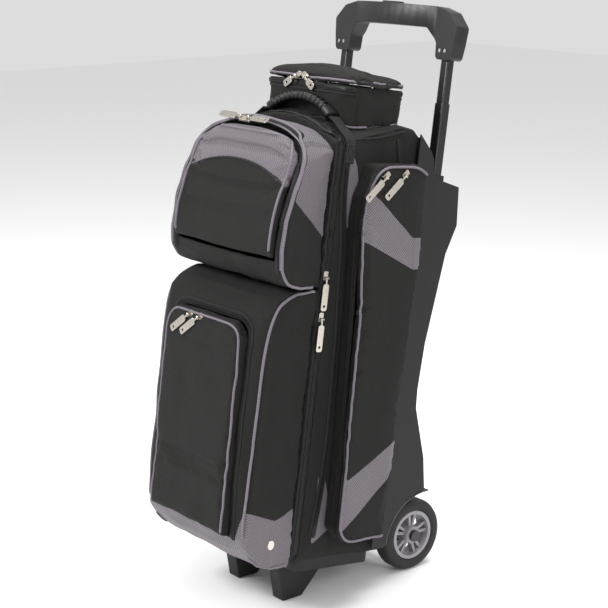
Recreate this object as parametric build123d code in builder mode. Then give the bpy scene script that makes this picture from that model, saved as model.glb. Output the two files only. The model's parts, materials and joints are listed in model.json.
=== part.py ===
from build123d import *
import os
from math import cos, radians, sin

# Three-ball roller bag for bowling balls: a tall fabric trunk with a front door, pockets, a moulded
# back shell with wheels and a telescoping handle, and a small removable case on top.
#
# Millimetres. The bag leans back as it stands on its legs and wheels, so it has a frame of its own,
# BAG: x to the right, y to the back from the wheel axle, z up along the back from the wheels' lowest
# level. The row frame is upright: +Z up, origin on the floor under the middle of the whole bag.

# Driving dimensions
LEAN = 8.1  # degrees that the bag leans back
WHEEL_R = 63.5
AXLE_Y = 162.4  # row frame place of the axle, so that the origin is under the middle
WALL = 5.0  # padded fabric
SKIN = 4.0  # pocket fabric with its lining
GAP = 0.4  # between pieces that move past each other

TRUNK_HALF = 128.0
TRUNK_NECK_HALF = 112.0  # narrower at the back, to leave room for the handle's tubes
TRUNK_BOTTOM = 50.0
SHOULDER_Z = 735.0
CROWN_Z = 768.0
SPLIT_Y = -275.0  # where the front door meets the trunk
TRUNK_BACK_Y = -64.6
NECK_Y = -86.0
DOOR_FACE_Y = -293.0

BALL_R = 108.0
BALL_Y = -178.0
CUP_H = 42.0
SHELF_T = 4.0
BAY_H = 225.0

SHELL_HALF = 140.0
SHELL_WALL = 3.4
SHELL_FRONT_Y = -122.0
WHEEL_ARCH_R = 92.0

TUBE_X = 125.0
TUBE_Y = -69.0
OUTER_TUBE = 22.6
MID_TUBE = 18.4
INNER_TUBE = 16.0
TUBE_WALL = 1.0
TUBE_FOOT_Z = 440.0
SOCKET_Z = 676.0
SOCKET_H = 15.0
MID_TOP_Z = 808.0
GRIP_BOTTOM_Z = 878.0
GRIP_TOP_Z = 963.0

POCKET_X = 128.4
POCKET_LIP_X = 157.6
POCKET_FACE_X = 170.0

WHEEL_X = 95.0
WHEEL_W = 34.0
RIM_R = 43.0
HUB_R = 15.0
AXLE_R = 5.0
WELL_INNER_X = 68.0

LEG_X = 61.0
LEG_W = 28.0

CASE_HALF = 110.0
CASE_X = -6.0  # the case sits a little to the left
CASE_FRONT_Y = -250.0
CASE_BACK_Y = -132.0
CASE_BOTTOM_Z = 768.4
CASE_RIM_Z = 822.0
CASE_TOP_Z = 843.0

UP = Vector(0, sin(radians(LEAN)), cos(radians(LEAN)))
BAG = Plane(origin=Vector(0, AXLE_Y, WHEEL_R) - UP * WHEEL_R, x_dir=(1, 0, 0), z_dir=UP)


def level(z):
    """Plane across the bag at height z, drawn as x to the right and y to the back."""
    return BAG.offset(z)


def side(x):
    """Plane along the bag at x, drawn as y to the back and z up, facing +x."""
    return Plane(origin=BAG.from_local_coords((x, 0, 0)), x_dir=BAG.y_dir, z_dir=BAG.x_dir)


def front(y):
    """Plane across the bag at y, drawn as x to the right and z up, facing the front."""
    return Plane(origin=BAG.from_local_coords((0, y, 0)), x_dir=BAG.x_dir, z_dir=-BAG.y_dir)


def floor_z(y):
    """Bag height of the floor at y, because the floor is tilted in the bag's frame."""
    return WHEEL_R - (WHEEL_R - y * sin(radians(LEAN))) / cos(radians(LEAN))


def save(piece, name):
    piece.part.label = name
    export_step(piece.part, f"parts/{name}.step")


def polygon(points, radius=0.0, inset=0.0):
    """Face with straight sides, its corners rounded and its edge moved inwards."""
    with BuildSketch() as face:
        with BuildLine():
            Polyline(*points, close=True)
        make_face()
        if radius:
            fillet(face.vertices(), radius)
        if inset:
            offset(amount=-inset, mode=Mode.REPLACE)
    return face.sketch


def trunk_section(inset=0.0):
    """Front view of the trunk: a box with a crowned top."""
    half = TRUNK_HALF - inset
    low = TRUNK_BOTTOM + inset
    with BuildSketch() as section:
        with BuildLine():
            Polyline((-half, SHOULDER_Z), (-half, low), (half, low), (half, SHOULDER_Z))
            ThreePointArc((half, SHOULDER_Z), (0, CROWN_Z - inset), (-half, SHOULDER_Z))
        make_face()
        fillet(section.vertices().group_by(Axis.Y)[0], 20 - inset)
    return section.sketch


# Side view of the trunk: its top is flat under the case and slopes down at the back under the shell.
TRUNK_SIDE = [
    (SPLIT_Y, TRUNK_BOTTOM),
    (SPLIT_Y, CROWN_Z - 14),
    (SPLIT_Y + 16, CROWN_Z),
    (-152, CROWN_Z),
    (-134, 752),
    (-102, 720),
    (-93, 708),
    (-92, 680),
    (TRUNK_BACK_Y, 672),
    (TRUNK_BACK_Y, TRUNK_BOTTOM),
]


def trunk_solid(inset):
    """The trunk's outside, or with an inset the space inside it, open at the front."""
    with BuildPart() as trunk:
        with BuildSketch(front(TRUNK_BACK_Y - inset)):
            add(trunk_section(inset))
        extrude(amount=TRUNK_BACK_Y - SPLIT_Y)
        with BuildSketch(side(-TRUNK_HALF)):
            add(polygon(TRUNK_SIDE, inset=inset))
            with Locations((SPLIT_Y - 20 + inset, 400)):
                Rectangle(40 + 2 * inset, 700 - 2 * inset)
        extrude(amount=2 * TRUNK_HALF, mode=Mode.INTERSECT)
        for hand in (-1, 1):
            with BuildSketch(level(0)):
                with Locations((hand * (TRUNK_NECK_HALF - inset + 30), NECK_Y - inset + 30)):
                    Rectangle(60, 60)
            extrude(amount=CROWN_Z, mode=Mode.SUBTRACT)
            with BuildSketch(side(hand * (WELL_INNER_X - inset))):
                with Locations((0, WHEEL_R)):
                    Circle(WHEEL_ARCH_R + 1 + inset)
            extrude(amount=hand * TRUNK_HALF, mode=Mode.SUBTRACT)
    return trunk.part


os.makedirs("parts", exist_ok=True)

# ------------------------------------------------------------------ trunk
with BuildPart() as body_shell:
    add(trunk_solid(0))
    add(trunk_solid(WALL), mode=Mode.SUBTRACT)
save(body_shell, "body_shell")

# Three foam cups, one per ball, on the bottom and on two shelves.
CUP_X = TRUNK_HALF - WALL - 1
CUP_BACK_Y = NECK_Y - WALL - 1
CUP_FRONT_Y = SPLIT_Y + 5
BAY_FLOOR_Z = [TRUNK_BOTTOM + WALL + 0.2 + n * (BAY_H + SHELF_T + 0.2) for n in range(3)]
for name, floor in zip(("lower", "middle", "upper"), BAY_FLOOR_Z):
    with BuildPart() as ball_cup:
        with BuildSketch(level(floor)):
            with Locations((0, (CUP_FRONT_Y + CUP_BACK_Y - 14) / 2)):
                RectangleRounded(208, CUP_BACK_Y - 14 - CUP_FRONT_Y, 18)
        extrude(amount=CUP_H)
        with Locations(Location(BAG.from_local_coords((0, BALL_Y, floor + 6 + BALL_R)))):
            Sphere(BALL_R, mode=Mode.SUBTRACT)
    save(ball_cup, f"ball_cup_{name}")

for name, floor in zip(("lower", "upper"), BAY_FLOOR_Z[1:]):
    with BuildPart() as shelf:
        with BuildSketch(level(floor - SHELF_T - 0.1)):
            with Locations((0, (CUP_FRONT_Y + CUP_BACK_Y) / 2)):
                RectangleRounded(2 * CUP_X, CUP_BACK_Y - CUP_FRONT_Y, 16)
        extrude(amount=SHELF_T)
    save(shelf, f"shelf_{name}")

# ------------------------------------------------------------------ back shell
# Side view: an arch over the trunk's back top edge, a notch for the tubes, a block that holds their
# sockets, a long hollow and the housing over the wheels.
SHELL_SIDE = [
    (SHELL_FRONT_Y, 60),
    (SHELL_FRONT_Y, 757),
    (-94, 730),
    (-86, 716),
    (-84, 692),
    (-66, 684),
    (-22, 674),
    (-16, 610),
    (-34, 562),
    (-56, 410),
    (-60, 333),
    (-58, 300),
    (-36, 240),
    (-26, 212),
    (-14, 150),
    (-14, 60),
]
with BuildPart() as back_shell:
    with BuildSketch(side(-SHELL_HALF)):
        add(polygon(SHELL_SIDE))
    extrude(amount=2 * SHELL_HALF)
    with BuildSketch(side(-SHELL_HALF + SHELL_WALL)):
        add(polygon(SHELL_SIDE, inset=SHELL_WALL))
        with Locations((-162, 400)):
            Rectangle(92, 800)
        with Locations((-68 - SHELL_WALL / 2, 65)):
            Rectangle(104 - SHELL_WALL, 20)
    extrude(amount=2 * (SHELL_HALF - SHELL_WALL), mode=Mode.SUBTRACT)
    for hand in (-1, 1):
        with BuildSketch(side(hand * WELL_INNER_X)):
            with Locations((0, WHEEL_R)):
                Circle(WHEEL_ARCH_R)
        extrude(amount=hand * SHELL_HALF, mode=Mode.SUBTRACT)
        # Opening in the block's top for the tube socket.
        with BuildSketch(level(SOCKET_Z - 30)):
            with Locations((hand * TUBE_X, TUBE_Y)):
                Rectangle(OUTER_TUBE + 0.6, OUTER_TUBE + 7)
        extrude(amount=60, mode=Mode.SUBTRACT)
save(back_shell, "back_shell")

# ------------------------------------------------------------------ base, legs and wheels
BASE_LOW_Z = 28.0
with BuildPart() as base_tray:
    with BuildSketch(level(BASE_LOW_Z)):
        with Locations((0, -180)):
            RectangleRounded(224, 164, 16)
        with Locations((0, -141)):
            RectangleRounded(2 * WELL_INNER_X - 1, 242, 10)
    extrude(amount=TRUNK_BOTTOM - 0.2 - BASE_LOW_Z)
    with BuildSketch(level(BASE_LOW_Z + 4)):
        with Locations((0, -180)):
            RectangleRounded(216, 156, 12)
        with Locations((0, -141)):
            RectangleRounded(2 * WELL_INNER_X - 9, 234, 6)
    extrude(amount=TRUNK_BOTTOM - BASE_LOW_Z, mode=Mode.SUBTRACT)
save(base_tray, "base_tray")

# Side view of a leg: upright at the front, with a brace that runs back under the base.
LEG_SIDE = [
    (-267, BASE_LOW_Z - 0.2),
    (-247, floor_z(-247)),
    (-208, floor_z(-208)),
    (-176, 12),
    (-140, 16),
    (-137, BASE_LOW_Z - 0.2),
]
for name, hand in (("right", 1), ("left", -1)):
    with BuildPart() as front_leg:
        with BuildSketch(side(hand * LEG_X - LEG_W / 2)):
            add(polygon(LEG_SIDE))
        extrude(amount=LEG_W)
        fillet(front_leg.edges().filter_by(Axis.X).group_by(Axis.Z)[-1], 1.5)
    save(front_leg, f"front_leg_{name}")

with BuildPart() as base_screws:
    for x in (-LEG_X, LEG_X):
        for y in (-250, -150):
            with BuildSketch(level(BASE_LOW_Z + 4.1)):
                with Locations((x, y)):
                    Circle(4.5)
            extrude(amount=3)
save(base_screws, "base_screws")

AXLE_POINT = BAG.from_local_coords((0, 0, WHEEL_R))
FENDER_R = 90.0
FENDER_T = 3.0
for name, hand in (("right", 1), ("left", -1)):
    with BuildPart() as wheel_housing:
        with BuildSketch(side(hand * (WELL_INNER_X + GAP))):
            with BuildLine():
                Line((0, WHEEL_R), (-FENDER_R, WHEEL_R))
                ThreePointArc(
                    (-FENDER_R, WHEEL_R),
                    (-FENDER_R * cos(radians(45)), WHEEL_R + FENDER_R * sin(radians(45))),
                    (0, WHEEL_R + FENDER_R),
                )
                Line((0, WHEEL_R + FENDER_R), (0, WHEEL_R))
            make_face()
            with Locations((0, WHEEL_R)):
                Circle(24)
                Circle(AXLE_R + 0.05, mode=Mode.SUBTRACT)
        extrude(amount=hand * FENDER_T)
        with BuildSketch(side(hand * (WELL_INNER_X + GAP))):
            with Locations((0, WHEEL_R)):
                Circle(FENDER_R)
                Circle(FENDER_R - FENDER_T, mode=Mode.SUBTRACT)
            with Locations((-60 - FENDER_T, WHEEL_R + 60)):
                Rectangle(120, 120, mode=Mode.INTERSECT)
        extrude(amount=hand * (SHELL_HALF - WELL_INNER_X - 2))
    save(wheel_housing, f"wheel_housing_{name}")

WHEEL_INNER_X = WHEEL_X - WHEEL_W / 2
WHEEL_OUTER_X = WHEEL_X + WHEEL_W / 2
COLLAR_X = WELL_INNER_X + GAP + FENDER_T + 0.1
with BuildPart() as wheel_axle:
    with BuildSketch(side(-WHEEL_OUTER_X - 4)):
        with Locations((0, WHEEL_R)):
            Circle(AXLE_R)
    extrude(amount=2 * (WHEEL_OUTER_X + 4))
    for hand in (-1, 1):
        with BuildSketch(side(hand * COLLAR_X)):
            with Locations((0, WHEEL_R)):
                Circle(9)
        extrude(amount=hand * (WHEEL_INNER_X - GAP - COLLAR_X))
save(wheel_axle, "wheel_axle")

with BuildPart() as axle_caps:
    for hand in (-1, 1):
        with BuildSketch(side(hand * (WHEEL_OUTER_X + GAP))):
            with Locations((0, WHEEL_R)):
                Circle(10)
        extrude(amount=hand * 6.5)
        with BuildSketch(side(hand * WHEEL_OUTER_X)):
            with Locations((0, WHEEL_R)):
                Circle(AXLE_R + 0.03)
        extrude(amount=hand * 4.1, mode=Mode.SUBTRACT)
save(axle_caps, "axle_caps")

for name, hand in (("right", 1), ("left", -1)):
    with BuildPart() as tyre:
        with BuildSketch(side(hand * WHEEL_X)):
            with Locations((0, WHEEL_R)):
                Circle(WHEEL_R)
        extrude(amount=WHEEL_W / 2, both=True)
        fillet(tyre.edges(), 9)
        with BuildSketch(side(hand * WHEEL_X)):
            with Locations((0, WHEEL_R)):
                Circle(RIM_R)
        extrude(amount=WHEEL_W, both=True, mode=Mode.SUBTRACT)
    save(tyre, f"tyre_{name}")

    with BuildPart() as rim:
        with BuildSketch(side(hand * WHEEL_X)):
            with Locations((0, WHEEL_R)):
                Circle(RIM_R)
                Circle(RIM_R - 6, mode=Mode.SUBTRACT)
        extrude(amount=WHEEL_W / 2 - 2, both=True)
        with BuildSketch(side(hand * WHEEL_X)):
            with Locations((0, WHEEL_R)):
                Circle(HUB_R)
        extrude(amount=WHEEL_W / 2 - GAP, both=True)
        # Five pairs of spokes.
        with BuildSketch(side(hand * (WHEEL_X + 4))):
            for turn in range(5):
                for split in (-11, 11):
                    angle = radians(90 + 72 * turn + split)
                    with Locations(Location((25 * cos(angle), WHEEL_R + 25 * sin(angle)), 90 + 72 * turn + split)):
                        Rectangle(26, 5)
        extrude(amount=5, both=True)
        with BuildSketch(side(hand * WHEEL_X)):
            with Locations((0, WHEEL_R)):
                Circle(AXLE_R + 0.06)
        extrude(amount=WHEEL_W, both=True, mode=Mode.SUBTRACT)
    save(rim, f"rim_{name}")

# ------------------------------------------------------------------ telescoping handle


def square_tubes(size, low, high):
    """A pair of square tubes between two heights, with rounded corners and open ends."""
    with BuildPart() as tubes:
        with BuildSketch(level(low)):
            with Locations((-TUBE_X, TUBE_Y), (TUBE_X, TUBE_Y)):
                RectangleRounded(size, size, 2.5)
            with Locations((-TUBE_X, TUBE_Y), (TUBE_X, TUBE_Y)):
                RectangleRounded(size - 2 * TUBE_WALL, size - 2 * TUBE_WALL, 1.2, mode=Mode.SUBTRACT)
        extrude(amount=high - low)
    return tubes


outer_tubes = square_tubes(OUTER_TUBE, TUBE_FOOT_Z, SOCKET_Z)
save(outer_tubes, "outer_tubes")

with BuildPart() as tube_foot_bar:
    with BuildSketch(level(TUBE_FOOT_Z - 14)):
        with Locations((-TUBE_X, TUBE_Y), (TUBE_X, TUBE_Y)):
            Rectangle(OUTER_TUBE, OUTER_TUBE)
        with Locations((0, -60.2)):
            Rectangle(2 * TUBE_X, 4.4)
    extrude(amount=14)
save(tube_foot_bar, "tube_foot_bar")

with BuildPart() as tube_sockets:
    with BuildSketch(level(SOCKET_Z)):
        with Locations((-TUBE_X, TUBE_Y), (TUBE_X, TUBE_Y)):
            RectangleRounded(OUTER_TUBE, OUTER_TUBE + 6, 3)
        with Locations((-TUBE_X, TUBE_Y), (TUBE_X, TUBE_Y)):
            RectangleRounded(MID_TUBE + 2 * GAP, MID_TUBE + 2 * GAP, 2.5, mode=Mode.SUBTRACT)
    extrude(amount=SOCKET_H)
save(tube_sockets, "tube_sockets")

mid_tubes = square_tubes(MID_TUBE, MID_TOP_Z - 248, MID_TOP_Z)
save(mid_tubes, "mid_tubes")

TUBE_IN_GRIP = 12.0
inner_tubes = square_tubes(INNER_TUBE, GRIP_BOTTOM_Z - 238, GRIP_BOTTOM_Z + TUBE_IN_GRIP)
save(inner_tubes, "inner_tubes")

# The grip is a wide bow with sloped shoulders. Its bar stands a little further forward than its ends.
GRIP_FRONT_HALF = [
    (98, GRIP_TOP_Z),
    (128, 955),
    (150, 932),
    (147, 905),
    (142, GRIP_BOTTOM_Z),
    (108, GRIP_BOTTOM_Z),
    (106, 905),
    (86, 928),
]
GRIP_FRONT = GRIP_FRONT_HALF + [(-x, z) for x, z in reversed(GRIP_FRONT_HALF)]
GRIP_BOW = 20.0
BUTTON_L = 44.0
BUTTON_W = 14.0
BUTTON_Y = -89.0
GRIP_SCREWS = [(-137, 893), (-125, 893), (115, 893), (127, 893)]
with BuildPart() as grip:
    with BuildSketch(front(-40)):
        add(polygon(GRIP_FRONT, radius=8))
    extrude(amount=80)
    with BuildSketch(level(GRIP_BOTTOM_Z - 1)):
        with BuildLine():
            Line((-155, -82), (-100, -82))
            ThreePointArc((-100, -82), (0, -84 - GRIP_BOW), (100, -82))
            Polyline((100, -82), (155, -82), (155, -54), (100, -54))
            ThreePointArc((100, -54), (0, -54 - GRIP_BOW), (-100, -54))
            Polyline((-100, -54), (-155, -54), (-155, -82))
        make_face()
    extrude(amount=100, mode=Mode.INTERSECT)
    with BuildSketch(level(GRIP_BOTTOM_Z)):
        with Locations((-TUBE_X, TUBE_Y), (TUBE_X, TUBE_Y)):
            RectangleRounded(INNER_TUBE, INNER_TUBE, 2.5)
    extrude(amount=TUBE_IN_GRIP, mode=Mode.SUBTRACT)
    with BuildSketch(level(GRIP_TOP_Z - 10)):
        with Locations((0, BUTTON_Y)):
            RectangleRounded(BUTTON_L + 2 * GAP, BUTTON_W + 2 * GAP, 5)
    extrude(amount=20, mode=Mode.SUBTRACT)
    with BuildSketch(front(-78)):
        with Locations(*GRIP_SCREWS):
            Circle(3.4)
    extrude(amount=10, mode=Mode.SUBTRACT)
save(grip, "grip")

with BuildPart() as grip_button:
    with BuildSketch(level(GRIP_TOP_Z - 5)):
        with Locations((0, BUTTON_Y)):
            RectangleRounded(BUTTON_L, BUTTON_W, 5)
    extrude(amount=8)
    fillet(grip_button.faces().sort_by(Axis.Z)[-1].edges(), 1.5)
save(grip_button, "grip_button")

with BuildPart() as grip_screws:
    with BuildSketch(front(-78)):
        with Locations(*GRIP_SCREWS):
            Circle(3.3)
    extrude(amount=3)
save(grip_screws, "grip_screws")

# ------------------------------------------------------------------ front door and its two pockets
with BuildPart() as door_panel:
    with BuildSketch(front(SPLIT_Y - GAP)):
        add(trunk_section())
    extrude(amount=SPLIT_Y - GAP - DOOR_FACE_Y)
    with BuildSketch(front(SPLIT_Y)):
        add(trunk_section(WALL))
    extrude(amount=SPLIT_Y - SKIN - DOOR_FACE_Y, mode=Mode.SUBTRACT)
save(door_panel, "door_panel")

POCKET_BACK = DOOR_FACE_Y - 0.2
POCKET_BACK_HALF = 128.0
LID_ROOM = 0.6  # all round a zipped cover in its opening


def door_pocket(outline, plan, inset=0.0):
    """Pocket on the door, from its side outline and its plan, or with an inset the space inside it."""
    with BuildPart() as pocket:
        with BuildSketch(side(-DOME_HALF)):
            add(polygon(outline, inset=inset))
        extrude(amount=2 * DOME_HALF)
        with BuildSketch(level(0)):
            add(polygon(plan, inset=inset))
        extrude(amount=CROWN_Z, mode=Mode.INTERSECT)
    return pocket.part


def opening(half, low, high, radius):
    """Opening for a zipped cover, with room all round it."""
    return arched(half + LID_ROOM, low - LID_ROOM, high + LID_ROOM, radius)


def arched(half, low, high, radius):
    """Front outline that is square below and rounded above."""
    with BuildSketch() as outline:
        with Locations((0, (low + high) / 2)):
            Rectangle(2 * half, high - low)
        fillet(outline.vertices().group_by(Axis.Y)[-1], radius)
    return outline.sketch


# Dome pocket: it widens from the door to its front and leans back at the top.
DOME_HALF = 147.0
DOME_LOW = 503.0
DOME_TOP = 757.0
DOME_CORNER = 60.0
DOME_SIDE = [
    (POCKET_BACK, DOME_LOW),
    (-345, DOME_LOW),
    (-372, 512),
    (-388, 534),
    (-391, 566),
    (-388, 612),
    (-373, 667),
    (-364, 713),
    (-352, 752),
    (-338, DOME_TOP),
    (POCKET_BACK, DOME_TOP),
]
DOME_PLAN = [
    (-POCKET_BACK_HALF, POCKET_BACK),
    (-DOME_HALF, -384),
    (-DOME_HALF, -400),
    (DOME_HALF, -400),
    (DOME_HALF, -384),
    (POCKET_BACK_HALF, POCKET_BACK),
]
DOME_PANEL = (127.0, 549.0, 747.0, 44.0)  # half width, bottom, top, corner radius of the zipped cover
DOME_OPENING_Y = -335.0  # the openings are cut forward from here
LOWER_OPENING_Y = -370.0
POCKET_REACH = 120.0  # more than any pocket is deep


def dome_solid(inset):
    """The dome's outside, or with an inset the space inside it: its top corners are round."""
    with BuildPart() as dome:
        add(door_pocket(DOME_SIDE, DOME_PLAN, inset))
        with BuildSketch(front(POCKET_BACK)):
            add(arched(DOME_HALF - inset, DOME_LOW, DOME_TOP - inset, DOME_CORNER - inset))
        extrude(amount=POCKET_REACH, mode=Mode.INTERSECT)
    return dome.part


with BuildPart() as dome_pocket_tub:
    add(dome_solid(0))
    add(dome_solid(SKIN), mode=Mode.SUBTRACT)
    with BuildSketch(front(DOME_OPENING_Y)):
        add(opening(*DOME_PANEL))
    extrude(amount=POCKET_REACH, mode=Mode.SUBTRACT)
save(dome_pocket_tub, "dome_pocket_tub")

# Front line of the cover, from its hinge at the bottom seam to its top.
DOME_COVER_LINE = [(-397, 549), (-393, 601), (-380, 665), (-371, 715), (-362, 747)]
COVER_T = 9.0
with BuildPart() as dome_pocket_cover:
    with BuildSketch(side(-DOME_HALF)):
        add(polygon(DOME_COVER_LINE + [(y + COVER_T, z) for y, z in reversed(DOME_COVER_LINE)]))
    extrude(amount=2 * DOME_HALF)
    with BuildSketch(front(DOME_OPENING_Y)):
        add(arched(*DOME_PANEL))
    extrude(amount=POCKET_REACH, mode=Mode.INTERSECT)
save(dome_pocket_cover, "dome_pocket_cover")

# Lower pocket: tall, with a crowned front and rounded top and bottom.
LOWER_SIDE = [
    (POCKET_BACK, 48),
    (-350, 52),
    (-380, 76),
    (-398, 104),
    (-403, 200),
    (-403, 400),
    (-396, 455),
    (-374, 482),
    (-344, 497),
    (POCKET_BACK, 501.6),
]
LOWER_PLAN = [
    (-POCKET_BACK_HALF, POCKET_BACK),
    (-135, -388),
    (-112, -404),
    (112, -404),
    (135, -388),
    (POCKET_BACK_HALF, POCKET_BACK),
]
LOWER_PANEL = (100.0, 104.6, 442.4, 34.0)
with BuildPart() as lower_pocket_tub:
    add(door_pocket(LOWER_SIDE, LOWER_PLAN))
    add(door_pocket(LOWER_SIDE, LOWER_PLAN, SKIN), mode=Mode.SUBTRACT)
    with BuildSketch(front(LOWER_OPENING_Y)):
        add(opening(*LOWER_PANEL))
    extrude(amount=POCKET_REACH, mode=Mode.SUBTRACT)
save(lower_pocket_tub, "lower_pocket_tub")

LOWER_COVER_BACK = -398.0
LOWER_COVER_LINE = [(-408, 104.6), (-413, 200), (-413, 400), (-410, 442.4)]
with BuildPart() as lower_pocket_cover:
    with BuildSketch(side(-DOME_HALF)):
        add(polygon(LOWER_COVER_LINE + [(LOWER_COVER_BACK, 442.4), (LOWER_COVER_BACK, 104.6)]))
    extrude(amount=2 * DOME_HALF)
    with BuildSketch(front(LOWER_OPENING_Y)):
        add(arched(*LOWER_PANEL))
    extrude(amount=POCKET_REACH, mode=Mode.INTERSECT)
save(lower_pocket_cover, "lower_pocket_cover")

BADGE_X = 132.2  # just clear of the pocket's side
BADGE_AT = (-337, 90)
with BuildPart() as side_badge:
    with BuildSketch(side(BADGE_X)):
        with Locations(BADGE_AT):
            Ellipse(6.5, 8)
    extrude(amount=2.5)
save(side_badge, "side_badge")

# ------------------------------------------------------------------ long pockets on the two sides
POCKET_SIDE = [
    (-227, 112),
    (-227, 240),
    (-239, 480),
    (-251, 615),
    (-248, 650),
    (-228, 703),
    (-150, 706),
    (-126, 694),
    (-126, 92),
    (-210, 92),
]
for name, hand in (("right", 1), ("left", -1)):
    with BuildPart() as side_pocket_tub:
        with BuildSketch(side(hand * POCKET_X)):
            add(polygon(POCKET_SIDE, radius=8))
        extrude(amount=hand * (POCKET_LIP_X - POCKET_X))
        with BuildSketch(side(hand * (POCKET_X + SKIN))):
            add(polygon(POCKET_SIDE, radius=8, inset=SKIN))
        extrude(amount=hand * POCKET_LIP_X, mode=Mode.SUBTRACT)
    save(side_pocket_tub, f"side_pocket_tub_{name}")

    with BuildPart() as side_pocket_cover:
        with BuildSketch(side(hand * (POCKET_LIP_X + GAP))):
            add(polygon(POCKET_SIDE, radius=8))
        extrude(amount=hand * (POCKET_FACE_X - POCKET_LIP_X - GAP))
        with BuildSketch(side(hand * POCKET_LIP_X)):
            add(polygon(POCKET_SIDE, radius=8, inset=SKIN))
        extrude(amount=hand * (POCKET_FACE_X - POCKET_LIP_X - SKIN), mode=Mode.SUBTRACT)
    save(side_pocket_cover, f"side_pocket_cover_{name}")

# ------------------------------------------------------------------ small case on top
CASE_MID_Y = (CASE_FRONT_Y + CASE_BACK_Y) / 2
CASE_DEPTH = CASE_BACK_Y - CASE_FRONT_Y
CASE_WALL = 3.0
with BuildPart() as top_case_tub:
    with BuildSketch(level(CASE_BOTTOM_Z)):
        with Locations((CASE_X, CASE_MID_Y)):
            RectangleRounded(2 * CASE_HALF, CASE_DEPTH, 20)
    extrude(amount=CASE_RIM_Z - CASE_BOTTOM_Z)
    with BuildSketch(level(CASE_BOTTOM_Z + CASE_WALL)):
        with Locations((CASE_X, CASE_MID_Y)):
            RectangleRounded(2 * (CASE_HALF - CASE_WALL), CASE_DEPTH - 2 * CASE_WALL, 17)
    extrude(amount=CASE_RIM_Z, mode=Mode.SUBTRACT)
save(top_case_tub, "top_case_tub")

with BuildPart() as top_case_lid:
    with BuildSketch(level(CASE_RIM_Z + GAP)):
        with Locations((CASE_X, CASE_MID_Y)):
            RectangleRounded(2 * CASE_HALF, CASE_DEPTH, 20)
    extrude(amount=CASE_TOP_Z - CASE_RIM_Z - GAP)
    fillet(top_case_lid.faces().sort_by(Axis.Z)[-1].edges(), 8)
    with BuildSketch(level(CASE_RIM_Z)):
        with Locations((CASE_X, CASE_MID_Y)):
            RectangleRounded(2 * (CASE_HALF - CASE_WALL), CASE_DEPTH - 2 * CASE_WALL, 17)
    extrude(amount=CASE_TOP_Z - CASE_WALL - CASE_RIM_Z, mode=Mode.SUBTRACT)
save(top_case_lid, "top_case_lid")

# ------------------------------------------------------------------ carry handle
CARRY_Y = -262.0
CARRY_PIVOT_Z = 771.0
with BuildPart() as carry_grip:
    with BuildSketch(front(CARRY_Y + 9)):
        with BuildLine():
            ThreePointArc((-80, CARRY_PIVOT_Z), (0, 806), (80, CARRY_PIVOT_Z))
            Line((80, CARRY_PIVOT_Z), (62, CARRY_PIVOT_Z))
            ThreePointArc((62, CARRY_PIVOT_Z), (0, 791), (-62, CARRY_PIVOT_Z))
            Line((-62, CARRY_PIVOT_Z), (-80, CARRY_PIVOT_Z))
        make_face()
    extrude(amount=18)
    fillet(carry_grip.edges().group_by(SortBy.LENGTH)[-1], 5)
save(carry_grip, "carry_grip")

WEBBING_FRONT = [
    (128.4, 700),
    (131.4, 700),
    (131.4, 739),
    (106, 758),
    (86, 777),
    (81, 777),
    (81, 760),
    (104, 751),
    (128.4, 739.6),
]
for name, hand in (("right", 1), ("left", -1)):
    with BuildPart() as carry_webbing:
        with BuildSketch(front(CARRY_Y + 10)):
            add(polygon([(hand * x, z) for x, z in WEBBING_FRONT]))
        extrude(amount=20)
    save(carry_webbing, f"carry_webbing_{name}")

# ------------------------------------------------------------------ zip sliders and their pulls
PULL_L = 52.0
SHORT_PULL_L = 30.0  # on the case, above the carry handle
PULL_W = 12.0
PULL_T = 1.6
PIN_OUT = 7.2  # height of the pin above the zip
PIN_ALONG = 3.0
PIN_R = 0.8


def on_zip(point, down, out):
    """Plane on a zip at a point of the bag: x along the hanging pull, z away from the bag."""
    x_dir = BAG.from_local_coords(Vector(*down)) - BAG.origin
    z_dir = BAG.from_local_coords(Vector(*out)) - BAG.origin
    return Plane(origin=BAG.from_local_coords(point), x_dir=x_dir, z_dir=z_dir)


def slider_solid(zip_plane):
    """Zip slider: a flat body with two ears that hold a pin."""
    with BuildPart() as slider:
        with BuildSketch(zip_plane.offset(0.3)):
            RectangleRounded(15, 9, 2.5)
        extrude(amount=4.2)
        with BuildSketch(zip_plane.offset(0.3)):
            with Locations((PIN_ALONG, -2.9), (PIN_ALONG, 2.9)):
                Rectangle(3, 1.4)
        extrude(amount=PIN_OUT + 1)
        across = Plane(origin=zip_plane.origin, x_dir=zip_plane.x_dir, z_dir=-zip_plane.y_dir)
        with BuildSketch(across):
            with Locations((PIN_ALONG, PIN_OUT)):
                Circle(PIN_R)
        extrude(amount=2.5, both=True)
    return slider.part


def pull_solid(zip_plane, length):
    """Zip pull: a flat tongue whose eye turns on the slider's pin."""
    with BuildPart() as pull:
        with BuildSketch(zip_plane.offset(PIN_OUT - PULL_T / 2)):
            with Locations((PIN_ALONG + 4, 0)):
                Rectangle(11.6, 3.2)
            with Locations((length / 2 + 8, 0)):
                RectangleRounded(length - 9, PULL_W, 4)
            with Locations((length - 4, 0)):
                Circle(2.2, mode=Mode.SUBTRACT)
        extrude(amount=PULL_T)
        across = Plane(origin=zip_plane.origin, x_dir=zip_plane.x_dir, z_dir=-zip_plane.y_dir)
        with BuildSketch(across):
            with Locations((PIN_ALONG, PIN_OUT)):
                Circle(2.0)
        extrude(amount=1.6, both=True)
        with BuildSketch(across):
            with Locations((PIN_ALONG, PIN_OUT)):
                Circle(PIN_R + 0.4)
        extrude(amount=3, both=True, mode=Mode.SUBTRACT)
    return pull.part


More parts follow.
